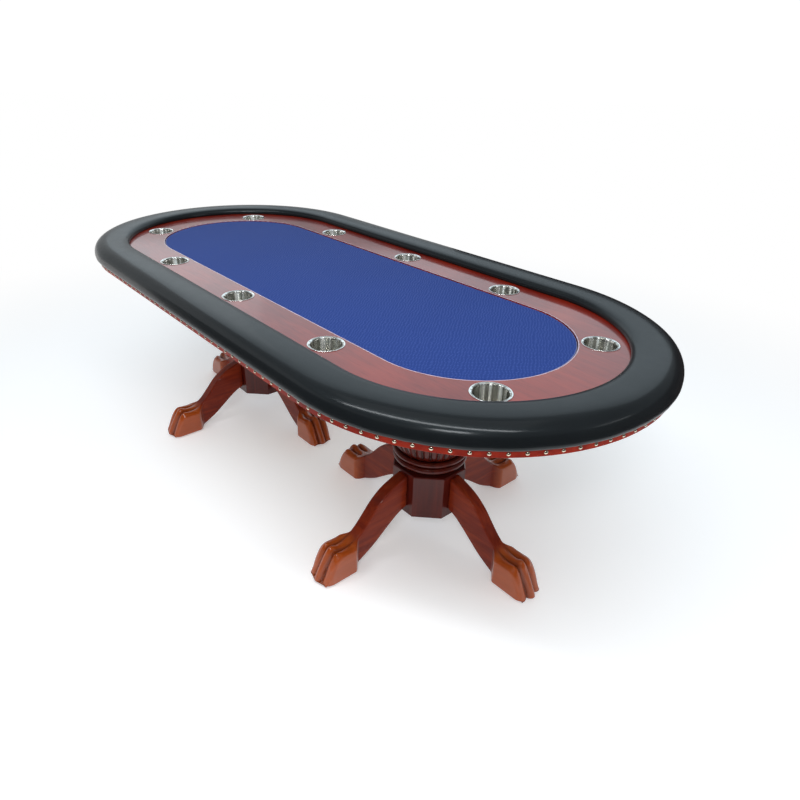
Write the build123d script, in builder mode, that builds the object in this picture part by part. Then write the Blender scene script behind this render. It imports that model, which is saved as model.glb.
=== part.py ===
"""Ten-seat poker table: a stadium top with a padded armrest, carried by two claw-footed pedestals.

Millimetres. The origin is on the floor under the middle of the top, X runs along the table and +Z is up.
"""

from build123d import *
from math import cos, pi, radians, sin
import os

os.makedirs("parts", exist_ok=True)

# Overall size: a 94 x 44 inch top, 30 inches high. Every outline of the top is a stadium around the
# same two centres, so one radius names it.
TOP_LENGTH = 2388
TOP_WIDTH = 1118
TABLE_HEIGHT = 762
RAIL_R = TOP_WIDTH / 2
END_CENTRE = TOP_LENGTH / 2 - RAIL_R

# Armrest and the banding under it
RAIL_INNER_R = 430
CORE_INNER_R = 440
BAND_R = 546
BAND_INNER_R = 524
VINYL_BOTTOM = 704
BAND_BOTTOM = 684
CORE_T = 12
RAIL_OUTER_ROUND = 34
RAIL_INNER_ROUND = 20
RAIL_HEM_ROUND = 5

# Racetrack board, with the boards that carry it
TRACK_TOP = 734
TRACK_T = 20
TRACK_INNER_R = 299
TRACK_OUTER_R = 540
BOARD_T = 18
DECK_R = 310
PACKING_INNER_R = 420
TRACK_BOTTOM = TRACK_TOP - TRACK_T
BOARD_BOTTOM = TRACK_BOTTOM - BOARD_T

# Lift-out playing surface
PANEL_R = 297.5
CLOTH_T = 1
FOAM_T = 4
PANEL_T = 12.5
CLOTH_HEM = 12

# Drop-in steel cups, on one line half way across the racetrack
CUP_LINE_R = 357.5
CUP_SIDE_X = 470
CUP_END_ANGLE = 38.2
CUP_FLANGE_R = 50.5
CUP_FLANGE_T = 1.6
CUP_WALL_R = 42.5
CUP_WALL_T = 1
CUP_DEPTH = 72
CUP_HOLE_R = 43.5

# Nailheads along the band
NAIL_COUNT = 152
NAIL_R = 4.8
NAIL_DOME = 2.8
NAIL_Z = 694

# Under-frame
BEARER_W = 45
BEARER_H = 40
BEARER_LENGTH = 1030
BEARER_BOTTOM = BOARD_BOTTOM - BEARER_H
BEARER_SPREAD = 129
STRETCHER_Y = 120
SPINE_END = 1150
RAIL_BOLT_R = 3
RAIL_BOLT_LINE_R = 480
RAIL_BOLT_TOP = TRACK_TOP + 10
BOLT_HEAD_H = 4

# Pedestals
PEDESTAL_X = 525
BLOCK_APOTHEM = 114
BLOCK_BOTTOM = 103
BLOCK_TOP = 256
COLLAR_TOP = 312
URN_TOP = 560
CAPITAL_TOP = BEARER_BOTTOM - BOARD_T
PLATE_SIDE = 340
ROD_R = 6
ROD_HOLE_R = 6.6
PLATE_SCREW_R = 2.5
PLATE_SCREW_YS = (-140, -60, 60, 140)

# Legs: the profile is drawn as distance from the column's axis against height
LEG_T = 42
LEG_END = 332
FOOT_BOTTOM = 3
TOE_PITCH = 31
TOE_W = 30.6
GLIDE_R = 16
GLIDE_AT = 385
LEG_BOLT_R = 4
LEG_BOLT_HEIGHTS = (165, 210)
LEG_BOLT_FROM = 70
LEG_BOLT_TO = 160
FIT_GAP = 0.1


def keep(piece, name):
    """Labels a finished piece and writes it as its own node."""
    piece.part.label = name
    export_step(piece.part, f"parts/{name}.step")


def around_ends(radius, angle):
    """The four points at this radius and angle from the long axis, around the two end centres."""
    along = END_CENTRE + radius * cos(radians(angle))
    across = radius * sin(radians(angle))
    return [(sx * along, sy * across) for sx in (1, -1) for sy in (1, -1)]


def stadium(radius):
    """A stadium outline of this radius, drawn in the current sketch."""
    return SlotCenterToCenter(2 * END_CENTRE, 2 * radius)


CUP_PLACES = (
    [(x, sy * CUP_LINE_R) for sy in (1, -1) for x in (-CUP_SIDE_X, 0, CUP_SIDE_X)]
    + around_ends(CUP_LINE_R, CUP_END_ANGLE)
)
RAIL_BOLT_PLACES = (
    [(x, sy * RAIL_BOLT_LINE_R) for sy in (1, -1) for x in (-560, -200, 200, 560)]
    + around_ends(RAIL_BOLT_LINE_R, 30)
    + around_ends(RAIL_BOLT_LINE_R, 65)
)
BEARER_XS = [sx * PEDESTAL_X + dx for sx in (-1, 1) for dx in (-BEARER_SPREAD, BEARER_SPREAD)]

# ---------------------------------------------------------------- armrest
# Foam under vinyl: one soft ring over the plywood core, with a skirt that hides the core's edge.
with BuildPart() as rail_cushion:
    with BuildSketch(Plane.XY.offset(VINYL_BOTTOM)):
        stadium(RAIL_R)
    extrude(amount=TABLE_HEIGHT - VINYL_BOTTOM)
    outer_edges = rail_cushion.edges().group_by(Axis.Z)[-1]
    hem_edges = rail_cushion.edges().group_by(Axis.Z)[0]
    fillet(outer_edges, RAIL_OUTER_ROUND)
    fillet(hem_edges, RAIL_HEM_ROUND)
    with BuildSketch(Plane.XY.offset(VINYL_BOTTOM)):
        stadium(BAND_R)
    extrude(amount=TRACK_TOP + CORE_T - VINYL_BOTTOM, mode=Mode.SUBTRACT)
    with BuildSketch(Plane.XY.offset(TRACK_TOP)):
        stadium(CORE_INNER_R)
    extrude(amount=CORE_T)
    with BuildSketch(Plane.XY.offset(TRACK_TOP)):
        stadium(RAIL_INNER_R)
    extrude(amount=TABLE_HEIGHT - TRACK_TOP, mode=Mode.SUBTRACT)
    fillet(rail_cushion.edges().group_by(Axis.Z)[-1], RAIL_INNER_ROUND)
keep(rail_cushion, "rail_cushion")

with BuildPart() as rail_core:
    with BuildSketch(Plane.XY.offset(TRACK_TOP)):
        stadium(BAND_R)
        with BuildSketch(mode=Mode.SUBTRACT):
            stadium(CORE_INNER_R)
    extrude(amount=CORE_T)
    with Locations(*[(x, y, TRACK_TOP) for x, y in RAIL_BOLT_PLACES]):
        Cylinder(
            RAIL_BOLT_R + FIT_GAP,
            RAIL_BOLT_TOP - TRACK_TOP,
            align=(Align.CENTER, Align.CENTER, Align.MIN),
            mode=Mode.SUBTRACT,
        )
keep(rail_core, "rail_core")

with BuildPart() as band:
    with BuildSketch(Plane.XY.offset(BAND_BOTTOM)):
        stadium(BAND_R)
    extrude(amount=TRACK_BOTTOM - BAND_BOTTOM)
    with BuildSketch(Plane.XY.offset(BAND_BOTTOM)):
        stadium(BAND_INNER_R)
    extrude(amount=TRACK_BOTTOM - BAND_BOTTOM, mode=Mode.SUBTRACT)
    chamfer(band.edges().group_by(Axis.Z)[0], 1)
keep(band, "band")

# Domed upholstery nails stand on the band at an even pitch all the way round.
NAIL_SPHERE_R = (NAIL_R**2 + NAIL_DOME**2) / (2 * NAIL_DOME)
with BuildPart() as one_nail:
    with Locations((0, 0, NAIL_DOME - NAIL_SPHERE_R)):
        Sphere(NAIL_SPHERE_R)
    split(bisect_by=Plane.XY, keep=Keep.TOP)


def nail_place(distance):
    """Where the nail this far round the band stands: on the band's face, its head facing out."""
    straight = 2 * END_CENTRE
    bend = pi * BAND_R
    side = 1 if distance < straight + bend else -1
    along = distance if side == 1 else distance - straight - bend
    if along < straight:
        return Location((side * (along - END_CENTRE), -side * BAND_R, NAIL_Z), (90 * side, 0, 0))
    turn = (along - straight) / BAND_R - pi / 2
    x = side * (END_CENTRE + BAND_R * cos(turn))
    y = side * BAND_R * sin(turn)
    heading = turn * 180 / pi + (0 if side == 1 else 180)
    return Location((x, y, NAIL_Z)) * Rotation(0, 0, heading) * Rotation(0, 90, 0)


BAND_ROUND = 4 * END_CENTRE + 2 * pi * BAND_R
with BuildPart() as nailheads:
    with Locations(*[nail_place(i * BAND_ROUND / NAIL_COUNT) for i in range(NAIL_COUNT)]):
        add(one_nail.part)
keep(nailheads, "nailheads")

# ---------------------------------------------------------------- boards of the top
with BuildPart() as racetrack:
    with BuildSketch(Plane.XY.offset(TRACK_BOTTOM)):
        stadium(TRACK_OUTER_R)
        with BuildSketch(mode=Mode.SUBTRACT):
            stadium(TRACK_INNER_R)
        with Locations(*CUP_PLACES):
            Circle(CUP_HOLE_R, mode=Mode.SUBTRACT)
        with Locations(*RAIL_BOLT_PLACES):
            Circle(RAIL_BOLT_R + FIT_GAP, mode=Mode.SUBTRACT)
    extrude(amount=TRACK_T)
keep(racetrack, "racetrack")

with BuildPart() as packing_ring:
    with BuildSketch(Plane.XY.offset(BOARD_BOTTOM)):
        stadium(BAND_INNER_R)
        with BuildSketch(mode=Mode.SUBTRACT):
            stadium(PACKING_INNER_R)
        with Locations(*RAIL_BOLT_PLACES):
            Circle(RAIL_BOLT_R + FIT_GAP, mode=Mode.SUBTRACT)
    extrude(amount=BOARD_T)
keep(packing_ring, "packing_ring")

with BuildPart() as deck:
    with BuildSketch(Plane.XY.offset(BOARD_BOTTOM)):
        stadium(DECK_R)
    extrude(amount=BOARD_T)
keep(deck, "deck")

with BuildPart() as rail_bolts:
    with Locations(*[(x, y, BOARD_BOTTOM) for x, y in RAIL_BOLT_PLACES]):
        Cylinder(
            RAIL_BOLT_R,
            RAIL_BOLT_TOP - BOARD_BOTTOM,
            align=(Align.CENTER, Align.CENTER, Align.MIN),
        )
        Cylinder(2.4 * RAIL_BOLT_R, BOLT_HEAD_H, align=(Align.CENTER, Align.CENTER, Align.MAX))
keep(rail_bolts, "rail_bolts")

# ---------------------------------------------------------------- playing surface, lifts out as one
with BuildPart() as panel_board:
    with BuildSketch(Plane.XY.offset(TRACK_BOTTOM)):
        stadium(PANEL_R - CLOTH_T)
    extrude(amount=PANEL_T)
keep(panel_board, "panel_board")

with BuildPart() as panel_foam:
    with BuildSketch(Plane.XY.offset(TRACK_BOTTOM + PANEL_T)):
        stadium(PANEL_R - CLOTH_T)
    extrude(amount=FOAM_T)
keep(panel_foam, "panel_foam")

CLOTH_TOP = TRACK_BOTTOM + PANEL_T + FOAM_T + CLOTH_T
with BuildPart() as speed_cloth:
    with BuildSketch(Plane.XY.offset(CLOTH_TOP - CLOTH_HEM)):
        stadium(PANEL_R)
    extrude(amount=CLOTH_HEM)
    with BuildSketch(Plane.XY.offset(CLOTH_TOP - CLOTH_HEM)):
        stadium(PANEL_R - CLOTH_T)
    extrude(amount=CLOTH_HEM - CLOTH_T, mode=Mode.SUBTRACT)
keep(speed_cloth, "speed_cloth")

# ---------------------------------------------------------------- cups
# Spun stainless cups that drop through the racetrack and hang from their flanges.
for number, (cup_x, cup_y) in enumerate(CUP_PLACES, start=1):
    floor_z = TRACK_TOP - CUP_DEPTH
    inner_r = CUP_WALL_R - CUP_WALL_T
    with BuildPart(Plane((cup_x, cup_y, 0))) as cup:
        with BuildSketch(Plane((cup_x, cup_y, 0), z_dir=(0, -1, 0), x_dir=(1, 0, 0))):
            with BuildLine():
                Polyline((0, floor_z), (CUP_WALL_R - 5, floor_z))
                RadiusArc((CUP_WALL_R - 5, floor_z), (CUP_WALL_R, floor_z + 5), -5)
                Polyline(
                    (CUP_WALL_R, floor_z + 5),
                    (CUP_WALL_R, TRACK_TOP),
                    (CUP_FLANGE_R, TRACK_TOP),
                    (CUP_FLANGE_R, TRACK_TOP + 0.6),
                )
                Polyline(
                    (CUP_FLANGE_R, TRACK_TOP + 0.6),
                    (CUP_FLANGE_R - 1.2, TRACK_TOP + CUP_FLANGE_T),
                    (inner_r + 1, TRACK_TOP + CUP_FLANGE_T),
                    (inner_r, TRACK_TOP + 0.6),
                    (inner_r, floor_z + 5),
                )
                RadiusArc((inner_r, floor_z + 5), (inner_r - 4, floor_z + CUP_WALL_T), 4)
                Polyline(
                    (inner_r - 4, floor_z + CUP_WALL_T), (0, floor_z + CUP_WALL_T), (0, floor_z)
                )
            make_face()
        revolve(axis=Axis((cup_x, cup_y, 0), (0, 0, 1)))
    keep(cup, f"cup_{number}")

# ---------------------------------------------------------------- under-frame
BEARER_NAMES = ("bearer_left_outer", "bearer_left_inner", "bearer_right_inner", "bearer_right_outer")
for bearer_x, bearer_name in zip(BEARER_XS, BEARER_NAMES):
    with BuildPart() as bearer:
        with BuildSketch(Plane.XY.offset(BEARER_BOTTOM)):
            with Locations((bearer_x, 0)):
                Rectangle(BEARER_W, BEARER_LENGTH)
        extrude(amount=BEARER_H)
        with Locations(*[(bearer_x, y, BEARER_BOTTOM) for y in PLATE_SCREW_YS]):
            Cylinder(
                PLATE_SCREW_R + FIT_GAP,
                25,
                align=(Align.CENTER, Align.CENTER, Align.MIN),
                mode=Mode.SUBTRACT,
            )
    keep(bearer, bearer_name)

INNER_BEARER_FACE = PEDESTAL_X - BEARER_SPREAD - BEARER_W / 2
OUTER_BEARER_FACE = PEDESTAL_X + BEARER_SPREAD + BEARER_W / 2
for side, stretcher_name in ((-1, "stretcher_front"), (1, "stretcher_back")):
    with BuildPart() as stretcher:
        with BuildSketch(Plane.XY.offset(BEARER_BOTTOM)):
            with Locations((0, side * STRETCHER_Y)):
                Rectangle(2 * INNER_BEARER_FACE, BEARER_W)
        extrude(amount=BEARER_H)
    keep(stretcher, stretcher_name)

for side, spine_name in ((-1, "spine_left"), (1, "spine_right")):
    with BuildPart() as spine:
        with BuildSketch(Plane.XY.offset(BEARER_BOTTOM)):
            with Locations((side * (OUTER_BEARER_FACE + SPINE_END) / 2, 0)):
                Rectangle(SPINE_END - OUTER_BEARER_FACE, BEARER_W)
        extrude(amount=BEARER_H)
    keep(spine, spine_name)


# ---------------------------------------------------------------- pedestals
def octagon(apothem):
    """A regular octagon with faces square to X and Y, drawn in the current sketch."""
    return RegularPolygon(apothem, 8, major_radius=False, rotation=22.5)


def drill_rod_hole(centre_x, low, high):
    """Clears the tie rod's hole through the current part."""
    with Locations((centre_x, 0, low)):
        Cylinder(
            ROD_HOLE_R,
            high - low,
            align=(Align.CENTER, Align.CENTER, Align.MIN),
            mode=Mode.SUBTRACT,
        )


for side, end in ((-1, "left"), (1, "right")):
    centre_x = side * PEDESTAL_X
    turning = Plane((centre_x, 0, 0), z_dir=(0, -1, 0), x_dir=(1, 0, 0))
    column_axis = Axis((centre_x, 0, 0), (0, 0, 1))
    bolt_planes = [
        Plane(
            (centre_x, 0, 0),
            z_dir=(cos(radians(quarter)), sin(radians(quarter)), 0),
            x_dir=(-sin(radians(quarter)), cos(radians(quarter)), 0),
        )
        for quarter in (0, 90, 180, 270)
    ]

    # The octagonal block takes the four legs.
    with BuildPart() as block:
        with BuildSketch(Plane.XY.offset(BLOCK_BOTTOM)):
            with Locations((centre_x, 0)):
                octagon(BLOCK_APOTHEM)
        extrude(amount=BLOCK_TOP - BLOCK_BOTTOM)
        chamfer(block.edges().group_by(Axis.Z)[-1], 3)
        chamfer(block.edges().group_by(Axis.Z)[0], 2)
        drill_rod_hole(centre_x, BLOCK_BOTTOM, BLOCK_TOP)
        for bolt_plane in bolt_planes:
            with BuildSketch(bolt_plane.offset(LEG_BOLT_FROM)):
                with Locations(*[(0, z) for z in LEG_BOLT_HEIGHTS]):
                    Circle(LEG_BOLT_R + FIT_GAP)
            extrude(amount=BLOCK_APOTHEM - LEG_BOLT_FROM + 1, mode=Mode.SUBTRACT)
    keep(block, f"block_{end}")

    # Two turned rings and the necks between them.
    with BuildPart() as collar:
        with BuildSketch(turning):
            with BuildLine():
                Polyline((0, BLOCK_TOP), (98, BLOCK_TOP), (98, 262), (108, 270))
                ThreePointArc((108, 270), (119, 280), (108, 290))
                Line((108, 290), (109, 294))
                ThreePointArc((109, 294), (121, 303), (109, COLLAR_TOP))
                Polyline((109, COLLAR_TOP), (0, COLLAR_TOP), (0, BLOCK_TOP))
            make_face()
        revolve(axis=column_axis)
        drill_rod_hole(centre_x, BLOCK_TOP, COLLAR_TOP)
    keep(collar, f"collar_{end}")

    # The urn swells from the collar and closes in again under the capital.
    with BuildPart() as urn:
        with BuildSketch(turning):
            with BuildLine():
                Line((0, COLLAR_TOP), (106, COLLAR_TOP))
                Spline(
                    (106, COLLAR_TOP), (120, 332), (145, 385), (152, 435), (138, 490), (108, 535), (92, URN_TOP)
                )
                Polyline((92, URN_TOP), (0, URN_TOP), (0, COLLAR_TOP))
            make_face()
        revolve(axis=column_axis)
        drill_rod_hole(centre_x, COLLAR_TOP, URN_TOP)
    keep(urn, f"urn_{end}")

    # The capital is a ring, a cove and a round slab under the fixing plate.
    with BuildPart() as capital:
        with BuildSketch(turning):
            with BuildLine():
                Line((0, URN_TOP), (96, URN_TOP))
                ThreePointArc((96, URN_TOP), (108, URN_TOP + 10), (96, URN_TOP + 20))
                ThreePointArc((96, URN_TOP + 20), (102, 604), (128, 616))
                Polyline((128, 616), (134, 620), (134, CAPITAL_TOP), (0, CAPITAL_TOP), (0, URN_TOP))
            make_face()
        revolve(axis=column_axis)
        drill_rod_hole(centre_x, URN_TOP, CAPITAL_TOP)
    keep(capital, f"capital_{end}")

    # The square plate is screwed up into the two bearers that cross it.
    screw_places = [
        (centre_x + dx, y) for dx in (-BEARER_SPREAD, BEARER_SPREAD) for y in PLATE_SCREW_YS
    ]
    with BuildPart() as plate:
        with BuildSketch(Plane.XY.offset(CAPITAL_TOP)):
            with Locations((centre_x, 0)):
                RectangleRounded(PLATE_SIDE, PLATE_SIDE, 12)
                Circle(3 * ROD_R, mode=Mode.SUBTRACT)
            with Locations(*screw_places):
                Circle(PLATE_SCREW_R + FIT_GAP, mode=Mode.SUBTRACT)
        extrude(amount=BOARD_T)
    keep(plate, f"plate_{end}")

    with BuildPart() as plate_screws:
        with Locations(*[(x, y, CAPITAL_TOP) for x, y in screw_places]):
            Cylinder(PLATE_SCREW_R, BOARD_T + 22, align=(Align.CENTER, Align.CENTER, Align.MIN))
            Cone(3, 5.5, 3, align=(Align.CENTER, Align.CENTER, Align.MAX))
    keep(plate_screws, f"plate_screws_{end}")

    # One steel rod draws the whole column together, with a nut at each end.
    with BuildPart() as tie_rod:
        with Locations((centre_x, 0, BLOCK_BOTTOM)):
            Cylinder(4 * ROD_R, 3, align=(Align.CENTER, Align.CENTER, Align.MAX))
        with Locations((centre_x, 0, BLOCK_BOTTOM - 20)):
            Cylinder(
                ROD_R,
                CAPITAL_TOP + 14 - BLOCK_BOTTOM + 20,
                align=(Align.CENTER, Align.CENTER, Align.MIN),
            )
        with BuildSketch(Plane.XY.offset(BLOCK_BOTTOM - 13), Plane.XY.offset(CAPITAL_TOP)):
            with Locations((centre_x, 0)):
                RegularPolygon(1.6 * ROD_R, 6)
        extrude(amount=10)
    keep(tie_rod, f"tie_rod_{end}")

    with BuildPart() as leg_bolts:
        for bolt_plane in bolt_planes:
            with BuildSketch(bolt_plane.offset(LEG_BOLT_FROM)):
                with Locations(*[(0, z) for z in LEG_BOLT_HEIGHTS]):
                    Circle(LEG_BOLT_R)
            extrude(amount=LEG_BOLT_TO - LEG_BOLT_FROM)
    keep(leg_bolts, f"leg_bolts_{end}")

    # A leg is a sawn, rounded bracket that ends in a carved foot of three toes.
    with BuildPart() as one_leg:
        with BuildSketch(Plane.XZ):
            with BuildLine():
                Spline(
                    (BLOCK_APOTHEM, 246), (150, 235), (190, 218), (228, 190), (262, 152), (296, 116), (LEG_END, 100)
                )
                Line((LEG_END, 100), (LEG_END, FOOT_BOTTOM + 4))
                Spline(
                    (LEG_END, FOOT_BOTTOM + 4), (290, 19), (250, 42), (214, 69), (180, 95), (147, 117),
                    (BLOCK_APOTHEM, 131),
                )
                Line((BLOCK_APOTHEM, 131), (BLOCK_APOTHEM, 246))
            make_face()
        extrude(amount=LEG_T / 2, both=True)
        with BuildSketch(Plane.YZ.offset(BLOCK_APOTHEM)):
            with Locations(*[(0, z) for z in LEG_BOLT_HEIGHTS]):
                Circle(LEG_BOLT_R + FIT_GAP)
        extrude(amount=LEG_BOLT_TO - BLOCK_APOTHEM, mode=Mode.SUBTRACT)
        for toe, reach in ((-1, 0), (0, 9), (1, 0)):
            with BuildSketch(Plane.XZ.offset(-toe * TOE_PITCH)):
                with BuildLine():
                    Polyline(
                        (326, 92), (326, FOOT_BOTTOM + 6), (334, FOOT_BOTTOM), (432 + reach, FOOT_BOTTOM),
                        (443 + reach, 12), (437 + reach, 30), (420 + reach, 62), (402, 84), (374, 94),
                        (345, 96), (326, 92),
                    )
                make_face()
            extrude(amount=TOE_W / 2 + 0.2, both=True)
    for quarter, direction in enumerate(("east", "north", "west", "south")):
        with BuildPart() as leg:
            with Locations(Location((centre_x, 0, 0), (0, 0, 90 * quarter))):
                add(one_leg.part)
        keep(leg, f"leg_{end}_{direction}")

    with BuildPart() as glides:
        with BuildSketch(Plane.XY):
            with Locations((centre_x, 0)):
                with PolarLocations(GLIDE_AT, 4):
                    Circle(GLIDE_R)
        extrude(amount=FOOT_BOTTOM)
    keep(glides, f"glides_{end}")
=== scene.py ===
import math

import bpy
import numpy as np
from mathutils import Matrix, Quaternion, Vector


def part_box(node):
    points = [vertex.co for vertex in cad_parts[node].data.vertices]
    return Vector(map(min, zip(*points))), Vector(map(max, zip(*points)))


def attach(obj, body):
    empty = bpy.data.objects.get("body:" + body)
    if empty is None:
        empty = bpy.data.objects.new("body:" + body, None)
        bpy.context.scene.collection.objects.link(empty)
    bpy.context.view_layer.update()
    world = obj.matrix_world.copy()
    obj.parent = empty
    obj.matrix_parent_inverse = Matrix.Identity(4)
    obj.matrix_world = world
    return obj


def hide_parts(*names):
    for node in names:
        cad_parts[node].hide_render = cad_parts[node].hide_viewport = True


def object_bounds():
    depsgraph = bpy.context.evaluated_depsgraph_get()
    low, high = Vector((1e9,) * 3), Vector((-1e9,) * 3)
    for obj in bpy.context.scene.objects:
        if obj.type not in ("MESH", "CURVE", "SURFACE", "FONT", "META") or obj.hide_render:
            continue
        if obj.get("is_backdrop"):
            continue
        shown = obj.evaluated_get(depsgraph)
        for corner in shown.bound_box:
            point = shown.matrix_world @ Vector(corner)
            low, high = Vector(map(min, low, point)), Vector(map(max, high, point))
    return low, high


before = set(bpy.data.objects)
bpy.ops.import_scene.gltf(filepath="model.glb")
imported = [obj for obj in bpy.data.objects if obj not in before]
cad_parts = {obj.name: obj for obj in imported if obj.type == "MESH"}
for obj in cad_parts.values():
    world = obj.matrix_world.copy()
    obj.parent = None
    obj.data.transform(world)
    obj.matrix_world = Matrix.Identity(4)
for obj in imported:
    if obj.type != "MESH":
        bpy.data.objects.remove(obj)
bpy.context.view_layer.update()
bpy.context.scene.view_settings.view_transform = "Standard"

# ------------------------------------------------------------------ racetrack
# The ring of board between the cloth and the armrest, where chips and elbows rest. It is red
# mahogany veneer, stained and sprayed with gloss lacquer, with an eased edge around the cloth
# and ten round holes for the cups.


class Wire:
    """A value on its way through a finish: arithmetic on it adds the nodes that work it out."""

    def __init__(self, finish, socket):
        self.finish = finish
        self.socket = socket

    def maths(self, operation, first, second):
        return self.finish.node("ShaderNodeMath", {"operation": operation}, {0: first, 1: second})

    def __add__(self, other):
        return self.maths("ADD", self, other)

    def __radd__(self, other):
        return self.maths("ADD", other, self)

    def __sub__(self, other):
        return self.maths("SUBTRACT", self, other)

    def __rsub__(self, other):
        return self.maths("SUBTRACT", other, self)

    def __mul__(self, other):
        return self.maths("MULTIPLY", self, other)

    def __rmul__(self, other):
        return self.maths("MULTIPLY", other, self)


class Finish:
    """One finish of the table: a surface, and the nodes that vary it."""

    def __init__(self, name, surface):
        self.material = bpy.data.materials.new(name)
        self.material.use_nodes = True
        self.tree = self.material.node_tree
        self.surface = self.tree.nodes["Principled BSDF"]
        for socket, value in surface.items():
            self.surface.inputs[socket].default_value = value
        self.place = self.node("ShaderNodeTexCoord", output="Object")

    def node(self, kind, settings=None, inputs=None, output=0):
        made = self.tree.nodes.new(kind)
        for key, value in (settings or {}).items():
            if key == "stops":
                first, *between, last = value
                ramp = made.color_ramp.elements
                for stop, (where, colour) in ((ramp[0], first), (ramp[-1], last)):
                    stop.position = where
                    stop.color = (*colour, 1)
                for where, colour in between:
                    ramp.new(where).color = (*colour, 1)
            else:
                setattr(made, key, value)
        for key, value in (inputs or {}).items():
            if isinstance(value, Wire):
                self.tree.links.new(value.socket, made.inputs[key])
            else:
                made.inputs[key].default_value = value
        return Wire(self, made.outputs[output])

    def stretched(self, scale):
        """The piece's own coordinates, multiplied by scale along each axis."""
        return self.node("ShaderNodeMapping", {}, {"Vector": self.place, "Scale": scale})

    def noise(self, vector, scale, detail=3, distortion=0):
        return self.node(
            "ShaderNodeTexNoise",
            {},
            {"Vector": vector, "Scale": scale, "Detail": detail, "Distortion": distortion},
        )

    def separate(self, vector, axis):
        return self.node("ShaderNodeSeparateXYZ", {}, {0: vector}, axis)

    def ramped(self, value, start, end, low=0.0, high=1.0, smooth=False):
        """Takes value from start to end over to low to high, and holds it there beyond."""
        settings = {"interpolation_type": "SMOOTHSTEP"} if smooth else {}
        inputs = {0: value, 1: start, 2: end, 3: low, 4: high}
        return self.node("ShaderNodeMapRange", settings, inputs)

    def stored(self, name):
        """The share that is stored at each point of a piece under this name, or 0 where none is."""
        return self.node("ShaderNodeAttribute", {"attribute_name": name}, output="Fac")

    def blend(self, share, first, second):
        return self.node("ShaderNodeMix", {"data_type": "RGBA"}, {0: share, 6: first, 7: second}, 2)

    def feed(self, socket, wire):
        self.tree.links.new(wire.socket, self.surface.inputs[socket])

    def relief(self, height, depth, strength=1.0):
        settings = {"Height": height, "Distance": depth, "Strength": strength}
        self.feed("Normal", self.node("ShaderNodeBump", {}, settings))


def mahogany(name, along, lift=1.0, gloss=0.05, coat=0.9, warm=1.0, figure_share=0.8):
    """Red mahogany under lacquer, its grain running along axis 0, 1 or 2 of the piece."""
    finish = Finish(name, {"Coat Roughness": gloss, "Specular IOR Level": 0.12})
    across_grain, along_grain = 30, 2.6
    grain_scale = [across_grain] * 3
    grain_scale[along] = along_grain
    grain = finish.stretched(grain_scale)
    figure = finish.noise(grain, 1.0, 5, 1.6)
    pores = finish.noise(grain, 9.0, 4)
    stain = finish.noise(finish.place, 5.0, 2)
    colour = finish.node(
        "ShaderNodeValToRGB",
        {
            "stops": [
                (0.25, (0.105 * lift, 0.0055 * lift * warm, 0.0026 * lift)),
                (0.45, (0.150 * lift, 0.0085 * lift * warm, 0.0034 * lift)),
                (0.58, (0.195 * lift, 0.0130 * lift * warm, 0.0044 * lift)),
                (0.78, (0.260 * lift, 0.0220 * lift * warm, 0.0062 * lift)),
            ]
        },
        {0: figure * figure_share + stain * (1 - figure_share)},
    )
    pore_lines = finish.ramped(pores, 0.56, 0.72)
    colour = finish.blend(pore_lines * 0.30, colour, (0.045, 0.0035, 0.002, 1))
    # The stored share pales the feet towards orange, most on ridges and sides: partly wear, partly a
    # painted highlight.
    rubbed = finish.stored("rubbed")
    colour = finish.blend(rubbed * 0.75, colour, (0.48, 0.092, 0.008, 1))
    # Painted shade, partly stain: the stored hollow share darkens necks, toe grooves, reed gaps and the
    # legs' undersides.
    hollow = finish.stored("hollow")
    colour = finish.blend(hollow * 0.92, colour, (0.016, 0.0022, 0.0010, 1))
    finish.feed("Base Color", colour)
    finish.feed("Coat Weight", coat + rubbed)
    finish.feed("Roughness", 0.30 + pores * 0.16)
    finish.relief(pores, 0.00006, 0.5)
    return finish.material


def dress(node, material):
    """Gives a CAD node this material in all of its slots."""
    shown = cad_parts[node]
    shown.data.materials.clear()
    shown.data.materials.append(material)
    for polygon in shown.data.polygons:
        polygon.material_index = 0


def eased(node, width):
    """Rounds the arrises of a CAD node a little, as sanding does."""
    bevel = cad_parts[node].modifiers.new("eased", "BEVEL")
    bevel.width = width
    bevel.segments = 2
    bevel.limit_method = "ANGLE"
    bevel.angle_limit = math.radians(35)
    bevel.harden_normals = True


veneer = mahogany("racetrack_veneer", along=0, lift=1.25, gloss=0.10, coat=1.0, figure_share=0.4)
dress("racetrack", veneer)
eased("racetrack", 0.0014)

# ------------------------------------------------------------------ armrest
# A plywood ring wrapped in firm foam and black upholstery vinyl, pulled down over the outside
# and stapled underneath. The vinyl is tight on the straights, and gathers a little at its hem
# around the two ends.
rail_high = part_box("rail_cushion")[1]
RAIL_R = rail_high.y
END_X = rail_high.x - RAIL_R
TRACK_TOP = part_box("racetrack")[1].z
ROUND_STEPS = 72
SIDE_STEPS = 36


def stations(round_steps=ROUND_STEPS, side_steps=SIDE_STEPS):
    """Points round the table: where each stands on the long axis, and the way out from there."""
    made = []
    for side in (1, -1):
        for i in range(side_steps):
            made.append((side * END_X * (2 * i / side_steps - 1), 0, -side))
        for i in range(round_steps):
            turn = math.pi * (i / round_steps - 0.5)
            made.append((side * END_X, side * math.cos(turn), side * math.sin(turn)))
    return made


def smooth_line(points, steps):
    """A smooth line through the points, with this many steps between each two."""
    line = []
    for i in range(len(points) - 1):
        before = points[max(i - 1, 0)]
        start, end = points[i], points[i + 1]
        after = points[min(i + 2, len(points) - 1)]
        for k in range(steps):
            t = k / steps
            point = []
            for a, b, c, d in zip(before, start, end, after):
                bend = 2 * a - 5 * b + 4 * c - d
                twist = 3 * b - a - 3 * c + d
                point.append(0.5 * (2 * b + (c - a) * t + bend * t**2 + twist * t**3))
            line.append(tuple(point))
    return line + [points[-1]]


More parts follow.
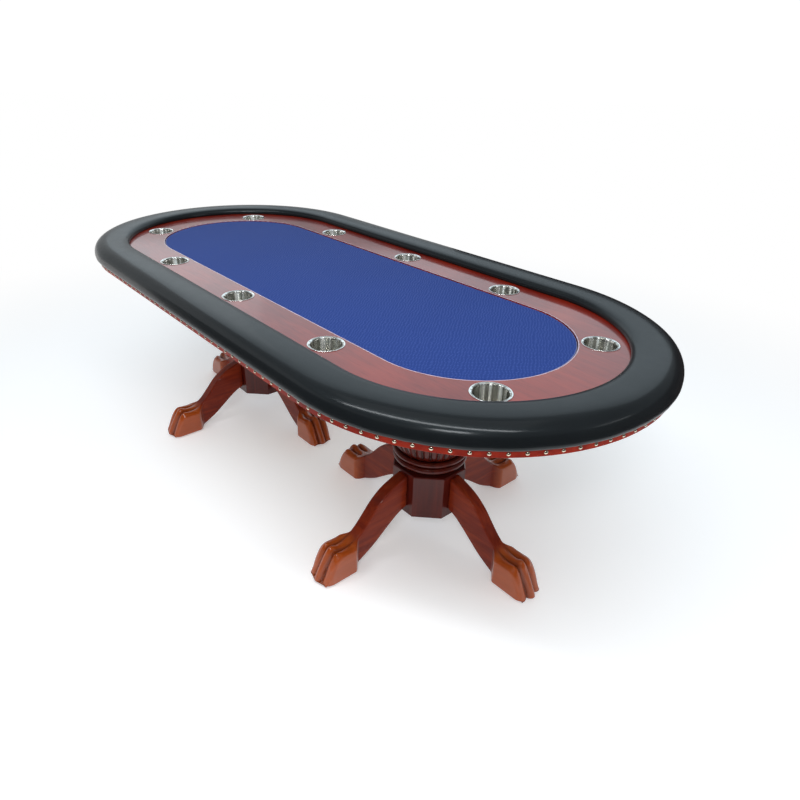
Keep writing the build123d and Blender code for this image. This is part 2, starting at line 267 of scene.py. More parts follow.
def make_piece(name, points, faces, material, body="table", sharp=None):
    """A named mesh object that rides on a body."""
    mesh = bpy.data.meshes.new(name)
    mesh.from_pydata(points, [], faces)
    mesh.validate()
    mesh.shade_smooth()
    if sharp:
        mesh.set_sharp_from_angle(angle=math.radians(sharp))
    mesh.materials.append(material)
    piece = bpy.data.objects.new(name, mesh)
    bpy.context.scene.collection.objects.link(piece)
    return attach(piece, body)


def ring_faces(around, across, closed):
    """Quads of a tube of around stations, each with across points."""
    faces = []
    for i in range(around):
        j = (i + 1) % around
        for k in range(across if closed else across - 1):
            m = (k + 1) % across
            faces.append((i * across + k, j * across + k, j * across + m, i * across + m))
    return faces


def vinyl():
    finish = Finish(
        "black_vinyl",
        {
            "Specular IOR Level": 0.10,
            "Specular Tint": (0.80, 0.93, 1.0, 1),
            "Coat Weight": 0.32,
            "Coat Roughness": 0.15,
        },
    )
    pebbles = finish.node(
        "ShaderNodeTexVoronoi",
        {"feature": "SMOOTH_F1"},
        {"Vector": finish.place, "Scale": 620, "Smoothness": 0.6},
    )
    creases = finish.noise(finish.place, 240, 4, 0.4)
    drift = finish.noise(finish.place, 7, 3)
    handled = finish.noise(finish.place, 28, 4)
    deep, pale = (0.0052, 0.0064, 0.0074, 1), (0.0100, 0.0120, 0.0135, 1)
    colour = finish.blend(drift * 0.6 + pebbles * 0.3, deep, pale)
    finish.feed("Base Color", colour)
    finish.feed("Roughness", 0.26 + handled * 0.10 + pebbles * 0.08)
    finish.relief(pebbles * 0.7 + creases * 0.5, 0.00012, 0.35)
    return finish.material


black_vinyl = vinyl()
ROLL = smooth_line(
    [
        (0.4330, 0.7343), (0.4303, 0.7385), (0.4312, 0.7480), (0.4385, 0.7558), (0.4520, 0.7598),
        (0.4720, 0.7614), (0.4950, 0.7620), (0.5160, 0.7608), (0.5340, 0.7562), (0.5480, 0.7468),
        (0.5562, 0.7340), (0.5590, 0.7220), (0.5586, 0.7120), (0.5550, 0.7056), (0.5500, 0.7040),
        (0.5466, 0.7046),
    ],
    4,
)
GATHER = 0.0007
HEM_TOP = 0.724
HEM_DEPTH = 0.018
WAVER = 0.0004
rail_points = []
for number, (base_x, out_x, out_y) in enumerate(stations()):
    bent = abs(out_x) > 0.05
    for radius, height in ROLL:
        hem = max(0.0, min(1.0, (HEM_TOP - height) / HEM_DEPTH)) if radius > 0.5 else 0.0
        folds = math.sin(2.4 * number + 1.7 * math.sin(0.9 * number))
        pucker = GATHER * hem * folds if bent else 0.0
        ease = WAVER * math.sin(0.37 * number) * math.sin(60 * radius)
        reach = radius + pucker + ease * (1 if radius < 0.53 else 0.4)
        rail_points.append((base_x + reach * out_x, reach * out_y, height + 0.5 * ease))
rail = make_piece("armrest", rail_points, ring_faces(len(stations()), len(ROLL), False), black_vinyl)
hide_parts("rail_cushion")

# ------------------------------------------------------------------ band and nailheads
# A mahogany band is bent round the frame under the armrest, and a row of domed upholstery nails in
# antique brass is driven into it all the way round.
# The band's mahogany is made brighter than the other mahogany (lift 1.7): painted light, standing for the
# floor's bounce light.
dress("band", mahogany("band_mahogany_painted_light", along=0, lift=1.7, gloss=0.08, coat=0.06))

nails_low, nails_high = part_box("nailheads")
BAND_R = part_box("band")[1].y
NAIL_Z = (nails_low.z + nails_high.z) / 2
NAIL_R = (nails_high.z - nails_low.z) / 2
NAIL_DOME = nails_high.y - BAND_R
NAIL_COUNT = 152
NAIL_SPOKES = 18


def antique_brass():
    finish = Finish("antique_brass", {"Metallic": 1.0})
    hollow = finish.stored("hollow")
    specks = finish.noise(finish.place, 900, 3)
    tarnish = hollow * 0.8 + specks * 0.2
    finish.feed("Base Color", finish.blend(tarnish, (0.96, 0.86, 0.68, 1), (0.16, 0.10, 0.055, 1)))
    finish.feed("Roughness", 0.16 + tarnish * 0.35)
    return finish.material


def set_shares(piece, shares, name="hollow"):
    """Stores a share at each point. Hollows take tarnish, stain and painted shade; ridges take wear and a
    painted highlight, and the cloth's rim a painted highlight.
    """
    attribute = piece.data.attributes.new(name, "FLOAT", "POINT")
    attribute.data.foreach_set("value", np.asarray(shares, np.float32))


NAIL_PROFILE = [(1.0, -0.04), (1.0, 0.10), (0.93, 0.32), (0.78, 0.60), (0.55, 0.84), (0.28, 0.97)]
nail_points, nail_faces, nail_hollow = [], [], []
band_length = 4 * END_X + 2 * math.pi * BAND_R
for number in range(NAIL_COUNT):
    distance = number * band_length / NAIL_COUNT
    side = 1 if distance < band_length / 2 else -1
    distance %= band_length / 2
    if distance < 2 * END_X:
        foot = (side * (distance - END_X), -side * BAND_R)
        way = (0, -side)
    else:
        turn = (distance - 2 * END_X) / BAND_R - math.pi / 2
        way = (side * math.cos(turn), side * math.sin(turn))
        foot = (side * END_X + BAND_R * way[0], BAND_R * way[1])
    start = len(nail_points)
    for share, height in NAIL_PROFILE:
        for spoke in range(NAIL_SPOKES):
            turn = 2 * math.pi * spoke / NAIL_SPOKES
            along, up = NAIL_R * share * math.cos(turn), NAIL_R * share * math.sin(turn)
            out = NAIL_DOME * height
            x = foot[0] - way[1] * along + way[0] * out
            y = foot[1] + way[0] * along + way[1] * out
            nail_points.append((x, y, NAIL_Z + up))
            nail_hollow.append(max(0.0, share - 0.75) * 4)
    nail_points.append((foot[0] + way[0] * NAIL_DOME, foot[1] + way[1] * NAIL_DOME, NAIL_Z))
    nail_hollow.append(0.0)
    for ring in range(len(NAIL_PROFILE) - 1):
        for spoke in range(NAIL_SPOKES):
            a = start + ring * NAIL_SPOKES + spoke
            b = start + ring * NAIL_SPOKES + (spoke + 1) % NAIL_SPOKES
            nail_faces.append((a, b, b + NAIL_SPOKES, a + NAIL_SPOKES))
    last = start + (len(NAIL_PROFILE) - 1) * NAIL_SPOKES
    for spoke in range(NAIL_SPOKES):
        nail_faces.append((last + spoke, last + (spoke + 1) % NAIL_SPOKES, len(nail_points) - 1))
nails = make_piece("upholstery_nails", nail_points, nail_faces, antique_brass())
set_shares(nails, nail_hollow)
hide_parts("nailheads")

# ------------------------------------------------------------------ playing surface
# Blue speed cloth, a slick woven polyester with a small lozenge figure, stretched over thin foam on
# a plywood board and stapled underneath. The board lifts out of the racetrack.
cloth_low, cloth_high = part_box("speed_cloth")
CLOTH_R = cloth_high.y
CLOTH_EDGE = 0.003
FIGURE_PITCH = 0.0105
YARN_PITCH = 0.0009
PAINTED_HIGHLIGHT_RIM = 0.0024


def speed_cloth_finish():
    finish = Finish("speed_cloth", {"Specular IOR Level": 0.10})
    x, y = finish.separate(finish.place, "X"), finish.separate(finish.place, "Y")
    wave = 2 * math.pi / FIGURE_PITCH
    wander = finish.noise(finish.place, 38, 3) * 9.0
    across = x.maths("COSINE", x * wave + wander, 0)
    down = y.maths("COSINE", y * (wave * 0.75) + wander * 0.6, 0)
    lozenges = finish.ramped(across * down, 0.18, 0.62, smooth=True)
    yarn = 2 * math.pi / YARN_PITCH
    warp = x.maths("SINE", (x + y) * yarn, 0)
    weft = x.maths("SINE", (x - y) * yarn, 0)
    threads = finish.noise(finish.stretched((500, 1400, 900)), 1.0, 2)
    drift = finish.noise(finish.place, 3.0, 3)
    ground = finish.blend(drift, (0.0155, 0.042, 0.210, 1), (0.021, 0.053, 0.250, 1))
    figured = finish.blend(lozenges * 0.30, ground, (0.070, 0.140, 0.480, 1))
    # The cloth's rim is painted pale lilac-blue: a painted highlight along its turned-down edge.
    rubbed = finish.stored("rubbed")
    figured = finish.blend(rubbed * 0.8, figured, (0.30, 0.33, 0.52, 1))
    finish.feed("Base Color", finish.blend(threads * 0.30, figured, (0.011, 0.034, 0.170, 1)))
    finish.feed("Roughness", 0.62 - lozenges * 0.14)
    finish.relief(warp * weft * 0.25 + lozenges * 0.5, 0.00012, 0.6)
    return finish.material


CLOTH_RINGS = [0.0, 0.06, 0.12, 0.18, 0.22, 0.25, 0.27, 0.284]
turned_down = [
    (CLOTH_R - CLOTH_EDGE * (1 - math.sin(t)), cloth_high.z - CLOTH_EDGE * (1 - math.cos(t)))
    for t in np.linspace(0, math.pi / 2, 6)
]
section = [(radius, cloth_high.z) for radius in CLOTH_RINGS] + turned_down + [(CLOTH_R, cloth_low.z)]
cloth_points, cloth_faces, known = [], [], {}


def cloth_point(base_x, out_x, out_y, radius, height):
    """The number of this point of the cloth: the points on the middle line are shared."""
    point = (base_x + radius * out_x, radius * out_y, height)
    key = tuple(round(value, 6) for value in point)
    if key not in known:
        known[key] = len(cloth_points)
        cloth_points.append(point)
    return known[key]


rows = [[cloth_point(*station, *step) for step in section] for station in stations()]
for row, following in zip(rows, rows[1:] + rows[:1]):
    for k in range(len(section) - 1):
        corners = [row[k], following[k], following[k + 1], row[k + 1]]
        corners = [c for n, c in enumerate(corners) if c != corners[n - 1]]
        if len(corners) > 2:
            cloth_faces.append(corners)
cloth = make_piece("playing_cloth", cloth_points, cloth_faces, speed_cloth_finish(), "playing_surface")
reaches = [math.hypot(max(abs(x) - END_X, 0), y) for x, y, _z in cloth_points]
# The outer rim of the cloth is marked for the painted highlight.
set_shares(cloth, [1.0 if reach > CLOTH_R - PAINTED_HIGHLIGHT_RIM else 0.0 for reach in reaches], "rubbed")
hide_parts("speed_cloth")

# ------------------------------------------------------------------ racetrack lip
# Where the racetrack meets the cloth its edge is rounded over, and the rounded lip is painted pale
# lilac: a painted highlight along the edge.
LIP_R = 0.299
LIP = smooth_line(
    [
        (LIP_R, TRACK_TOP - 0.0016), (LIP_R + 0.0001, TRACK_TOP - 0.0004),
        (LIP_R + 0.0007, TRACK_TOP + 0.0003), (LIP_R + 0.0016, TRACK_TOP + 0.0004),
        (LIP_R + 0.0027, TRACK_TOP + 0.0001), (LIP_R + 0.0032, TRACK_TOP - 0.0002),
    ],
    2,
)
lip_finish = Finish(
    "lip_painted_highlight", {"Coat Weight": 0.8, "Coat Roughness": 0.08, "Specular IOR Level": 0.4}
)
# The lip's pale lilac colour is a painted highlight.
lip_highlight_variation = lip_finish.noise(lip_finish.place, 90, 3)
lip_finish.feed("Base Color", lip_finish.blend(lip_highlight_variation, (0.62, 0.50, 0.60, 1), (0.42, 0.26, 0.31, 1)))
lip_finish.feed("Roughness", 0.25 + lip_highlight_variation * 0.2)
lip_points = [(x + r * ox, r * oy, z) for x, ox, oy in stations() for r, z in LIP]
lip_faces = ring_faces(len(stations()), len(LIP), False)
make_piece("racetrack_lip", lip_points, lip_faces, lip_finish.material)

# ------------------------------------------------------------------ cups
# Ten stainless cups, spun from thin sheet, drop through the racetrack and hang from a rolled
# flange. Spinning leaves fine rings round the wall and the floor, and the rim is polished. The
# broad dark streaks on the wall are painted, and stand for what bright steel mirrors in a room.


def lathe(name, outline, centre, material, body="table", around=96, reshape=None, sharp=None):
    """Turns an outline of (radius, height) about an upright axis, and reshape carves it."""
    points = []
    for i in range(around):
        turn = 2 * math.pi * i / around
        for radius, height in outline:
            carved = reshape(radius, height, turn) if reshape else radius
            x, y = centre[0] + carved * math.cos(turn), centre[1] + carved * math.sin(turn)
            points.append((x, y, height))
    return make_piece(name, points, ring_faces(around, len(outline), False), material, body, sharp)


TOOLING = 2600


def spun_steel(name, centre):
    finish = Finish(name, {"Metallic": 1.0})
    inputs = {0: finish.place, 1: (*centre, 0)}
    shifted = finish.node("ShaderNodeVectorMath", {"operation": "SUBTRACT"}, inputs)
    x, y, z = [finish.separate(shifted, axis) for axis in "XYZ"]
    distance = x.maths("POWER", x * x + y * y, 0.5)
    tooling = {0: distance * TOOLING, 1: z * TOOLING, 2: 0.0}
    lines = finish.node("ShaderNodeCombineXYZ", {}, tooling)
    rings = finish.noise(lines, 1.0, 2)
    smudge = finish.noise(finish.place, 60, 3)
    way_out = finish.node("ShaderNodeCombineXYZ", {}, {0: x, 1: y, 2: 0.0})
    way_out = finish.node("ShaderNodeVectorMath", {"operation": "NORMALIZE"}, {0: way_out})
    streaks = finish.noise(way_out, 2.5, 1)
    streaks = finish.ramped(streaks, 0.47, 0.53, smooth=True)
    polished = finish.blend(smudge, (0.84, 0.82, 0.78, 1), (0.96, 0.95, 0.93, 1))
    drawn = finish.ramped(z, TRACK_TOP + 0.0007, TRACK_TOP + 0.0012, 1.0, 0.0)
    colour = finish.blend(streaks * drawn * 0.85, polished, (0.30, 0.29, 0.25, 1))
    finish.feed("Base Color", colour)
    wall = finish.ramped(z, TRACK_TOP - 0.002, TRACK_TOP + 0.0006, 1.0, 0.0)
    finish.feed("Roughness", 0.10 + wall * 0.08 + rings * 0.06)
    finish.relief(rings, 0.00001, 0.3)
    return finish.material


cup_nodes = [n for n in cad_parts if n.startswith("cup_")]
cup_nodes.sort(key=lambda n: int(n.split("_")[1]))
for node in cup_nodes:
    low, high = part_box(node)
    centre = ((low.x + high.x) / 2, (low.y + high.y) / 2)
    flange_r = (high.x - low.x) / 2
    wall_r, bottom, top = 0.0425, low.z, high.z
    steel = 0.0009
    rim = [
        (wall_r, TRACK_TOP - 0.001), (wall_r + 0.0004, TRACK_TOP + 0.0001),
        (flange_r - 0.0009, TRACK_TOP + 0.0001), (flange_r - 0.0002, TRACK_TOP + 0.0004),
        (flange_r, TRACK_TOP + 0.0008), (flange_r - 0.0003, TRACK_TOP + 0.0013),
        (flange_r - 0.0009, top), (flange_r - 0.0016, top),
        (flange_r - 0.0026, top - 0.0004), (wall_r + 0.0044, top - 0.0008),
        (wall_r + 0.0028, top - 0.0010), (wall_r + 0.0012, top - 0.0013),
        (wall_r + 0.0001, top - 0.0030), (wall_r - steel, top - 0.0060),
    ]
    outside = [
        (0.0, bottom), (wall_r - 0.006, bottom), (wall_r - 0.0018, bottom + 0.0018),
        (wall_r, bottom + 0.006),
    ]
    inside = [
        (wall_r - steel, bottom + 0.007), (wall_r - steel - 0.0016, bottom + 0.0026),
        (wall_r - steel - 0.0056, bottom + steel), (0.029, bottom + steel),
        (0.028, bottom + steel + 0.0006), (0.023, bottom + steel + 0.0006),
        (0.0, bottom + steel + 0.0004),
    ]
    spun = spun_steel(f"spun_steel_{node}", centre)
    cup = lathe(f"steel_{node}", outside + rim + inside, centre, spun, node)
    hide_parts(node)

# ------------------------------------------------------------------ pedestals
# Each pedestal stacks an octagonal block, two turned rings, a reeded urn and a capital, all in
# lacquered mahogany, drawn together by a steel rod. Necks and reed gaps are darkened with stain and
# painted shade.
# The column's mahogany is made far darker than the other mahogany (lift 0.42): painted shade under the
# table top.
column_wood = mahogany("column_mahogany_painted_shade", along=2, lift=0.42, gloss=0.03, coat=0.55)
REEDS = 32
REED_DEPTH = 0.0068
REED_CURVE = 0.55
RING_STEPS = 128
URN_STEPS = REEDS * 12
NECK_R = 0.1125


def reeded(radius, height, turn):
    """Upright convex reeds that die out at both ends of the urn."""
    from_foot = max(0.0, (height - urn_low.z - 0.006) / 0.016)
    from_neck = max(0.0, (urn_high.z - 0.018 - height) / 0.03)
    share = min(1.0, from_foot, from_neck)
    lobe = abs(math.sin(REEDS * turn / 2))
    return radius - REED_DEPTH * share * (1 - lobe**REED_CURVE)


for side in ("left", "right"):
    dress(f"block_{side}", column_wood)
    eased(f"block_{side}", 0.0012)
    block_low, block_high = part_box(f"block_{side}")
    middle = ((block_low.x + block_high.x) / 2, 0.0)

    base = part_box(f"collar_{side}")[0].z
    ring_line = smooth_line(
        [
            (0.098, base), (0.0985, base + 0.006), (0.1060, base + 0.0125),
            (0.1150, base + 0.0165), (0.1190, base + 0.0240), (0.1150, base + 0.0315),
            (0.1085, base + 0.0345), (0.1080, base + 0.0368), (0.1160, base + 0.0395),
            (0.1208, base + 0.0470), (0.1165, base + 0.0545), (0.1090, base + 0.0560),
            (0.1040, base + 0.0560),
        ],
        4,
    )
    collar = lathe(f"turned_rings_{side}", ring_line, middle, column_wood, around=RING_STEPS)
    # The necks are darkened: stain and painted shade.
    neck = [max(0.0, min(1.0, (NECK_R - r) / 0.004)) for r, _z in ring_line]
    set_shares(collar, neck * RING_STEPS)
    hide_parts(f"collar_{side}")

    urn_low, urn_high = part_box(f"urn_{side}")
    urn_line = smooth_line(
        [
            (0.1030, urn_low.z), (0.1060, urn_low.z + 0.001), (0.1120, urn_low.z + 0.008), (0.1200, 0.332),
            (0.1330, 0.358), (0.1450, 0.385), (0.1510, 0.412), (0.1520, 0.435),
            (0.1480, 0.463), (0.1380, 0.490),
            (0.1230, 0.515), (0.1080, 0.535), (0.0980, 0.548), (0.0930, 0.556), (0.0920, urn_high.z),
        ],
        5,
    )
    name = f"reeded_urn_{side}"
    urn = lathe(name, urn_line, middle, column_wood, around=URN_STEPS, reshape=reeded)
    # The gaps between reeds are darkened, fully on the urn's belly and less above and below: stain and
    # painted shade.
    urn_hollow = []
    for i in range(URN_STEPS):
        depth = 1 - abs(math.sin(REEDS * math.pi * i / URN_STEPS)) ** REED_CURVE
        urn_hollow += [depth * (1 if 0.32 < z < 0.53 else 0.3) for _r, z in urn_line]
    set_shares(urn, urn_hollow)
    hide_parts(f"urn_{side}")

    cap_low, cap_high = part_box(f"capital_{side}")
    start = cap_low.z
    cap_line = smooth_line(
        [
            (0.092, start), (0.0965, start + 0.0005), (0.1050, start + 0.0040),
            (0.1078, start + 0.0100), (0.1050, start + 0.0160), (0.0970, start + 0.0195),
            (0.0955, start + 0.024), (0.0990, start + 0.038), (0.1090, start + 0.049),
            (0.1270, start + 0.0555),
        ],
        4,
    )
    cap_line += [(0.130, start + 0.0562), (0.1335, start + 0.0595), (0.134, start + 0.062)]
    cap_line += [(0.134, cap_high.z), (0.09, cap_high.z)]
    name = f"turned_capital_{side}"
    capital = lathe(name, cap_line, middle, column_wood, around=RING_STEPS, sharp=50)
    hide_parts(f"capital_{side}")

# ------------------------------------------------------------------ legs
# Four bracket legs to each block, sawn from thick mahogany with rounded arrises. Each flares into a
# carved foot of three toes, with grooves that run back over the instep, and it is bolted to the block.
LEG_START = 0.114
LEG_SPAN = 0.446
FOOT_HALF = 0.0465
LEG_HALF = 0.021
TOE_PITCH = 0.031
TOP_LINE = [
    (0.114, 0.246), (0.150, 0.235), (0.190, 0.218), (0.228, 0.190), (0.262, 0.153), (0.290, 0.123),
    (0.315, 0.104), (0.340, 0.097), (0.365, 0.097), (0.388, 0.098), (0.404, 0.090), (0.418, 0.072),
    (0.430, 0.049), (0.439, 0.029), (0.444, 0.018), (0.446, 0.0095),
]
UNDER_LINE = [
    (0.114, 0.131), (0.147, 0.117), (0.180, 0.095), (0.214, 0.069), (0.250, 0.042), (0.290, 0.019),
    (0.314, 0.007), (0.326, 0.0032), (0.350, 0.003), (0.425, 0.003), (0.438, 0.0040),
    (0.444, 0.0065), (0.446, 0.0095),
]
ACROSS_TOP = 31
CORNER = 6
DOWN_SIDE = 7


def eased_step(value, start, end):
    """0 before start, 1 after end, smooth between."""
    t = max(0.0, min(1.0, (value - start) / (end - start)))
    return t * t * (3 - 2 * t)


def read_line(line, at):
    return float(np.interp(at, [p[0] for p in line], [p[1] for p in line]))


def toe_shape(lateral):
    """How far below the toe's ridge this point lies, from 0 on the ridge to 1 in the groove."""
    place = (lateral / TOE_PITCH + 0.5) % 1.0 * 2 - 1
    outside = abs(lateral) > 1.5 * TOE_PITCH
    return 1.0 if outside else 1 - math.sqrt(max(0.0, 1 - 0.97 * place * place))


def leg_section(at):
    """One slice across the leg: its points, and how hollow each is."""
    top, under = read_line(top_curve, at), read_line(under_curve, at)
    flare = eased_step(at, 0.305, 0.337)
    half = LEG_HALF + (FOOT_HALF - LEG_HALF) * flare - 0.006 * eased_step(at, 0.425, LEG_SPAN)
    round_top = min(0.007 + 0.008 * flare, (top - under) * 0.45)
    round_under = min(0.005, (top - under) * 0.45)
    groove = 0.018 * eased_step(at, 0.312, 0.385) * (1 - 0.45 * eased_step(at, 0.425, LEG_SPAN))
    groove = min(groove, (top - under) * 0.5)
    tip = eased_step(at, 0.385, LEG_SPAN)
    knuckle = 0.007 * math.exp(-((at - 0.398) / 0.016) ** 2) * flare
    slice_points, hollows, ridges = [], [], []

    def put(lateral, height, hollow):
        ridge = 1 - toe_shape(lateral)
        # The foot's share of paling, partly wear and partly a painted highlight: strongest on ridges and
        # sides, weakest in the grooves.
        ridges.append(flare * (0.75 - 0.5 * hollow))
        middle_toe = 1 if abs(lateral) < TOE_PITCH / 2 else 0
        forward = tip * (0.010 * middle_toe * ridge - 0.011 * (1 - ridge))
        slice_points.append((at + forward, lateral, height))
        hollows.append(hollow)

    flat = half - round_top
    for k in range(ACROSS_TOP):
        lateral = flat * (2 * k / (ACROSS_TOP - 1) - 1)
        down = toe_shape(lateral)
        raised = knuckle * (1 - down) * (1.5 if abs(lateral) < TOE_PITCH / 2 else 0.6)
        side_fall = 0.006 * flare * (abs(lateral) / FOOT_HALF) ** 2
        # The grooves take a hollow share: stain and painted shade.
        put(lateral, top + raised - groove * down - side_fall, down**1.4 * flare)
    edge_fall = groove * toe_shape(flat) + 0.006 * flare * (flat / FOOT_HALF) ** 2
    for k in range(1, CORNER):
        turn = math.pi / 2 * k / CORNER
        put(flat + round_top * math.sin(turn), top - edge_fall - round_top * (1 - math.cos(turn)), 0)
    high, low = top - edge_fall - round_top, under + round_under
    for k in range(DOWN_SIDE):
        put(half, high + (low - high) * k / (DOWN_SIDE - 1), 0)
    for k in range(1, CORNER):
        turn = math.pi / 2 * k / CORNER
        put(half - round_under * (1 - math.cos(turn)), under + round_under * (1 - math.sin(turn)), 0)
    # The leg's underside takes a hollow share of 0.3: painted shade under the leg.
    for k in range(ACROSS_TOP):
        put((half - round_under) * (1 - 2 * k / (ACROSS_TOP - 1)), under, 0.3)
    mirrored = list(zip(slice_points, hollows))[ACROSS_TOP : ACROSS_TOP + 2 * (CORNER - 1) + DOWN_SIDE]
    for (reach, lateral, height), hollow in reversed(mirrored):
        slice_points.append((reach, -lateral, height))
        hollows.append(hollow)
        ridges.append(flare * 0.75)
    return slice_points, hollows, ridges


top_curve = smooth_line(TOP_LINE, 6)
under_curve = smooth_line(UNDER_LINE, 6)
leg_stations = list(np.linspace(LEG_START, 0.28, 30)) + list(np.linspace(0.284, 0.43, 50))
leg_stations += list(LEG_SPAN - 0.016 * (1 - np.linspace(0, 1, 16)[1:]) ** 1.6)
leg_points, leg_hollow, leg_wear_and_highlight = [], [], []
for at in leg_stations:
    slice_points, hollows, ridges = leg_section(float(at))
    leg_points += slice_points
    leg_hollow += hollows
    leg_wear_and_highlight += ridges
slice_count = len(slice_points)
leg_faces = []
for i in range(len(leg_stations) - 1):
    this, after = i * slice_count, (i + 1) * slice_count
    for k in range(slice_count):
        m = (k + 1) % slice_count
        leg_faces.append((this + k, this + m, after + m, after + k))
leg_faces.append(tuple(reversed(range(slice_count))))
last_row = (len(leg_stations) - 1) * slice_count
leg_faces.append(tuple(range(last_row, last_row + slice_count)))
leg_look = {"lift": 1.05, "gloss": 0.06, "coat": 0.18, "warm": 1.6}
leg_woods = [
    mahogany("leg_mahogany", along=0, **leg_look),
    mahogany("leg_mahogany_cross", along=1, **leg_look),
]
QUARTERS = {"east": 0, "north": 90, "west": 180, "south": 270}
for side in ("left", "right"):
    block_low, block_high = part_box(f"block_{side}")
    middle_x = (block_low.x + block_high.x) / 2
    for way, degrees in QUARTERS.items():
        turn = math.radians(degrees)
        placed = [
            (
                middle_x + r * math.cos(turn) - y * math.sin(turn),
                r * math.sin(turn) + y * math.cos(turn),
                z,
            )
            for r, y, z in leg_points
        ]
        wood = leg_woods[degrees // 90 % 2]
        leg = make_piece(f"claw_leg_{side}_{way}", placed, leg_faces, wood)
        set_shares(leg, leg_hollow)
        set_shares(leg, leg_wear_and_highlight, "rubbed")
        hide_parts(f"leg_{side}_{way}")

# ------------------------------------------------------------------ boards and under-frame
# Birch plywood for the boards, and planed pine for the bearers, stretchers and spines. These and
# the plywood fixing plates are stained dark, so that they don't show under the edge.
PLY_PAIR = 0.003


def raw_wood(name, along, pale, dark, plies):
    finish = Finish(name, {"Specular IOR Level": 0.3})
    grain_scale = [70] * 3
    grain_scale[along] = 4
    grain = finish.noise(finish.stretched(grain_scale), 1.0, 4, 0.8)
    colour = finish.blend(grain, pale, dark)
    if plies:
        height = finish.separate(finish.place, "Z")
        layers = height.maths("SINE", height * (2 * math.pi / PLY_PAIR), 0) * 0.5 + 0.5
        sideways = finish.node("ShaderNodeNewGeometry", output="Normal")
        upright = finish.separate(sideways, "Z")
        edge = 1 - upright * upright
        colour = finish.blend(layers * edge * 0.55, colour, dark)
    finish.feed("Base Color", colour)
    finish.feed("Roughness", 0.55 + grain * 0.2)
    finish.relief(grain, 0.0002, 0.4)
    return finish.material


birch = raw_wood("birch_plywood", 0, (0.62, 0.44, 0.26, 1), (0.44, 0.28, 0.14, 1), True)
STAIN = ((0.085, 0.026, 0.014, 1), (0.040, 0.011, 0.006, 1))
pine_long = raw_wood("pine_lengthways", 0, *STAIN, False)
pine_cross = raw_wood("pine_crossways", 1, *STAIN, False)
stained_plywood = raw_wood("stained_plywood", 0, *STAIN, True)
for node in ("rail_core", "panel_board", "deck", "packing_ring"):
    dress(node, birch)
for node in ("plate_left", "plate_right"):
    dress(node, stained_plywood)
for node in ("bearer_left_outer", "bearer_left_inner", "bearer_right_inner", "bearer_right_outer"):
    dress(node, pine_cross)
    eased(node, 0.002)
for node in ("stretcher_front", "stretcher_back", "spine_left", "spine_right"):
    dress(node, pine_long)
    eased(node, 0.002)

# ------------------------------------------------------------------ foam, fasteners and glides
# Closed-cell foam lies under the cloth. The bolts, screws and tie rods are zinc plated, and a nylon
# glide under each foot keeps it off the floor.


def plain(name, first, second, scale, roughness, metallic=0.0, depth=0.0001):
    finish = Finish(name, {"Metallic": metallic})
    texture = finish.noise(finish.place, scale, 3)
    finish.feed("Base Color", finish.blend(texture, first, second))
    finish.feed("Roughness", roughness + texture * 0.15)
    finish.relief(texture, depth, 0.4)
    return finish.material


dress("panel_foam", plain("foam_sheet", (0.72, 0.69, 0.58, 1), (0.60, 0.57, 0.47, 1), 700, 0.75))
zinc = plain("zinc_plate", (0.52, 0.53, 0.55, 1), (0.66, 0.66, 0.64, 1), 180, 0.28, 1.0, 0.00002)
nylon = plain("dark_nylon", (0.030, 0.026, 0.024, 1), (0.055, 0.050, 0.046, 1), 260, 0.5)
dress("rail_bolts", zinc)
for side in ("left", "right"):
    for kind in ("plate_screws", "tie_rod", "leg_bolts"):
        dress(f"{kind}_{side}", zinc)
    dress(f"glides_{side}", nylon)

# ------------------------------------------------------------------ studio
# A white floor that fades into a white surround, a bright wall that only shows in the gloss and
# lights the table, and a dark flag close round the rail. They aren't part of the table.
HALF_FLOOR = 30
FLOOR_Z = -0.0004
WALL_R = 25
WALL_SIDES = 96
WALL_HIGH, WALL_LOW = 16.0, 6.0


def stage_piece(name, points, faces, finish):
    """A mesh object of the studio."""
    mesh = bpy.data.meshes.new(name)
    mesh.from_pydata(points, [], faces)
    mesh.materials.append(finish.material)
    made = bpy.data.objects.new(name, mesh)
    bpy.context.scene.collection.objects.link(made)
    made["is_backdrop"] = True
    return made


def glowing(name, colour, strength):
    """A surface that is only light."""
    surface = {"Base Color": (0, 0, 0, 1), "Emission Color": colour, "Emission Strength": strength}
    return Finish(name, surface)


def hide_from(piece, rays):
    for ray in rays:
        setattr(piece, f"visible_{ray}", False)


floor_finish = Finish(
    "studio_white",
    {
        "Base Color": (0.86, 0.86, 0.87, 1),
        "Roughness": 0.6,
        "Specular IOR Level": 0.2,
        "Emission Color": (1, 1, 1, 1),
        "Emission Strength": 0.30,
    },
)
gap = floor_finish.node(
    "ShaderNodeVectorMath", {"operation": "LENGTH"}, {0: floor_finish.place}, "Value"
)
fade = floor_finish.ramped(gap, 1.2, 3.4, smooth=True)
glow = floor_finish.node("ShaderNodeEmission", {}, {"Color": (1, 1, 1, 1), "Strength": 1.0})
lit_floor = Wire(floor_finish, floor_finish.surface.outputs[0])
faded = floor_finish.node("ShaderNodeMixShader", {}, {0: fade, 1: lit_floor, 2: glow})
floor_output = floor_finish.tree.nodes["Material Output"]
floor_finish.tree.links.new(faded.socket, floor_output.inputs["Surface"])
floor_corners = [
    (-HALF_FLOOR, -HALF_FLOOR, FLOOR_Z), (HALF_FLOOR, -HALF_FLOOR, FLOOR_Z),
    (HALF_FLOOR, HALF_FLOOR, FLOOR_Z), (-HALF_FLOOR, HALF_FLOOR, FLOOR_Z),
]
stage_piece("studio_floor", floor_corners, [(0, 1, 2, 3)], floor_finish)

